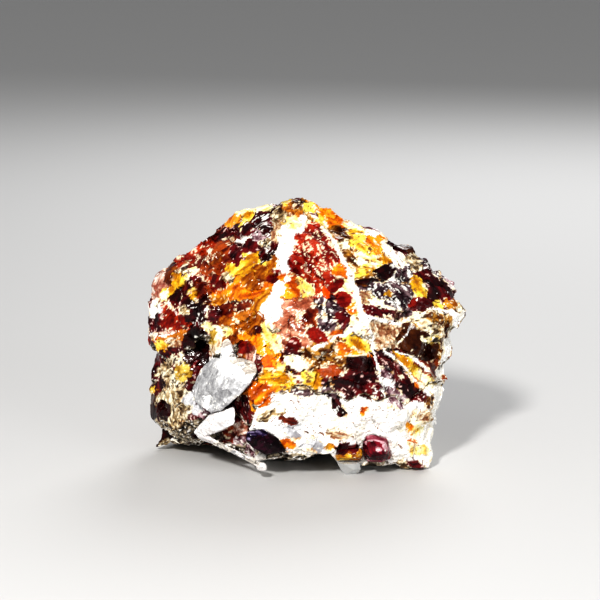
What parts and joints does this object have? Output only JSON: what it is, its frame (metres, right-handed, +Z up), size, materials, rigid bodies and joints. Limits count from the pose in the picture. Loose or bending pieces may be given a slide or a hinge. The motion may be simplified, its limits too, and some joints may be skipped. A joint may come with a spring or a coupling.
{
  "type": "sphalerite",
  "caption": "Hand specimen of gemmy red and amber sphalerite cleavage grains on white dolomite, with quartz, a calcite shard and small glassy crystals at its foot.",
  "frame": {"origin": "centre of the specimen's bounding box at its flat foot", "axes": "+X to the right of the pictured face and along the longest side, +Z up, -Y out of the pictured face"},
  "size_m": [0.0512, 0.0352, 0.0415],
  "materials": {
    "sphalerite": "resinous, broken along flat cleavages",
    "dolomite": "sugary, matt with small glints",
    "quartz": "milky to translucent, glassy",
    "calcite": "pearly",
    "black_blende": "glossy black with a purple sheen",
    "ruby_blende": "glossy ruby red",
    "honey_blende": "glossy honey brown",
    "rock_crystal": "clear grey"
  },
  "bodies": {
    "root": {"sphalerite": "sphalerite", "dolomite": "dolomite", "quartz_lump": "quartz", "white_shard": "calcite", "dark_crystal": "black_blende", "ruby_crystal": "ruby_blende", "amber_crystal": "honey_blende", "clear_crystal": "rock_crystal"}
  },
  "joints": []
}
